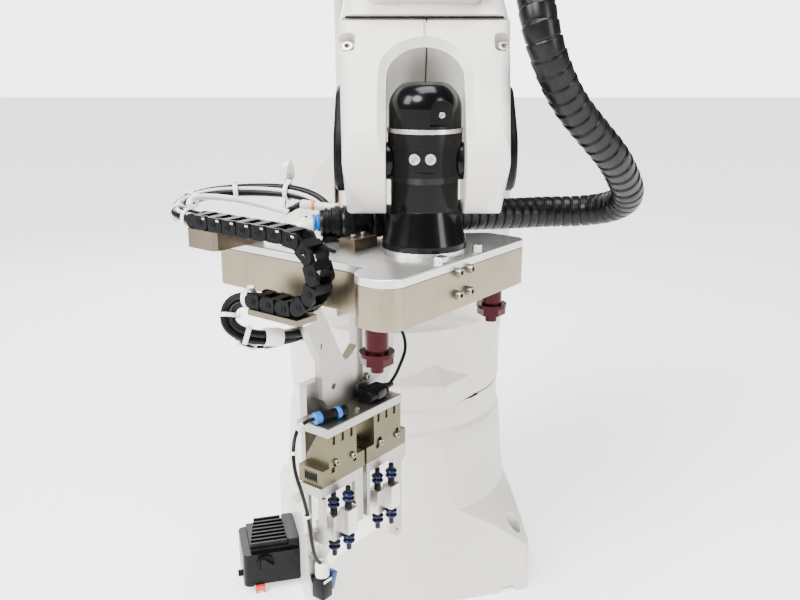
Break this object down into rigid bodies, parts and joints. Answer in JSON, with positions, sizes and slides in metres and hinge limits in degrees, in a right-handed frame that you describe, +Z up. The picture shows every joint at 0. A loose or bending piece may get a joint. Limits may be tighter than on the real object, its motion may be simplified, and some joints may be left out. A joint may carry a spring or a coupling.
{
  "type": "six-axis industrial robot arm with vacuum gripper tool",
  "caption": "Articulated arm on a square bolt-down foot, with turret, upper arm, elbow, rolling forearm, forked wrist, and a plate tool carrying a vacuum gripper.",
  "frame": {"origin": "centre of the base's underside, on the turret axis", "axes": "+Z up along the turret axis, the arm reaches towards -Y, +X crosswise to the right seen from the front"},
  "size_m": [0.5114, 0.712, 1.1724],
  "materials": {
    "cast_paint": "satin",
    "black_gloss": "gloss",
    "black_plastic": "satin",
    "machined": "machined",
    "steel": "satin",
    "maroon": "anodised",
    "olive": "anodised",
    "blue_rubber": "satin",
    "hose_black": "satin",
    "red_plastic": "gloss"
  },
  "bodies": {
    "base": {"base_casting": "cast_paint", "base_panel": "cast_paint", "finned_unit": "black_plastic", "unit_knob": "black_plastic", "unit_latch": "red_plastic"},
    "turret": {"turret_casting": "cast_paint", "shoulder_cover_left": "cast_paint", "shoulder_cover_right": "cast_paint"},
    "upper_arm": {"upper_arm": "cast_paint"},
    "elbow": {"elbow_housing": "cast_paint", "elbow_motor_cover": "cast_paint"},
    "forearm": {"forearm_housing": "cast_paint", "forearm_cover": "cast_paint", "wrist_fork": "cast_paint", "fork_cover_left": "black_plastic", "fork_cover_right": "black_plastic", "hose_clamp": "black_plastic", "hose_upper": "hose_black"},
    "wrist": {"wrist_dome": "black_gloss", "wrist_ring": "steel", "wrist_body": "black_gloss", "wrist_skirt": "black_gloss", "hose_lower": "hose_black"},
    "tool": {"tool_flange": "machined", "flange_locator": "machined", "tool_box": "machined", "tool_lid": "machined", "post_near": "maroon", "post_far": "maroon", "clamp_block": "machined", "energy_chain": "black_plastic", "chain_bracket_fixed": "machined", "chain_bracket_moving": "machined", "carrier_bracket": "machined", "carrier_plate": "machined", "gripper_bar": "machined", "gripper_body_left": "olive", "gripper_body_right": "olive", "cup_frame_left": "machined", "cup_frame_right": "machined", "cup_blocks": "machined", "cups_upper": "blue_rubber", "cups_lower": "blue_rubber", "sensor_bracket": "machined", "sensor": "black_plastic", "connector_left": "black_plastic", "connector_right": "black_plastic", "hose_end": "black_plastic", "cable_bundle_upper": "hose_black", "cable_bundle_lower": "hose_black", "sensor_cable": "hose_black", "plug_cable": "hose_black"}
  },
  "joints": [
    {"name": "j1_turret", "type": "hinge", "parent": "base", "child": "turret", "pos_m": [0, 0, 0], "axis": [0, 0, 1], "range_deg": [-170, 170]},
    {"name": "j2_shoulder", "type": "hinge", "parent": "turret", "child": "upper_arm", "pos_m": [0, 0, 0.545], "axis": [-1, 0, 0], "range_deg": [-20, 70]},
    {"name": "j3_elbow", "type": "hinge", "parent": "upper_arm", "child": "elbow", "pos_m": [0, -0.05636, 0.98381], "axis": [-1, 0, 0], "range_deg": [-5, 100]},
    {"name": "j4_forearm_roll", "type": "hinge", "parent": "elbow", "child": "forearm", "pos_m": [0.032, -0.398, 0.67], "axis": [0, 0.6428, 0.766], "range_deg": [-90, 90]},
    {"name": "j5_wrist_bend", "type": "hinge", "parent": "forearm", "child": "wrist", "pos_m": [0.032, -0.398, 0.67], "axis": [-1, 0, 0], "range_deg": [-10, 100], "deforming": ["hose_upper"]},
    {"name": "j6_flange", "type": "hinge", "parent": "wrist", "child": "tool", "pos_m": [0.032, -0.398, 0.58], "axis": [0, 0, 1], "range_deg": [-20, 160], "deforming": ["hose_lower"]}
  ]
}
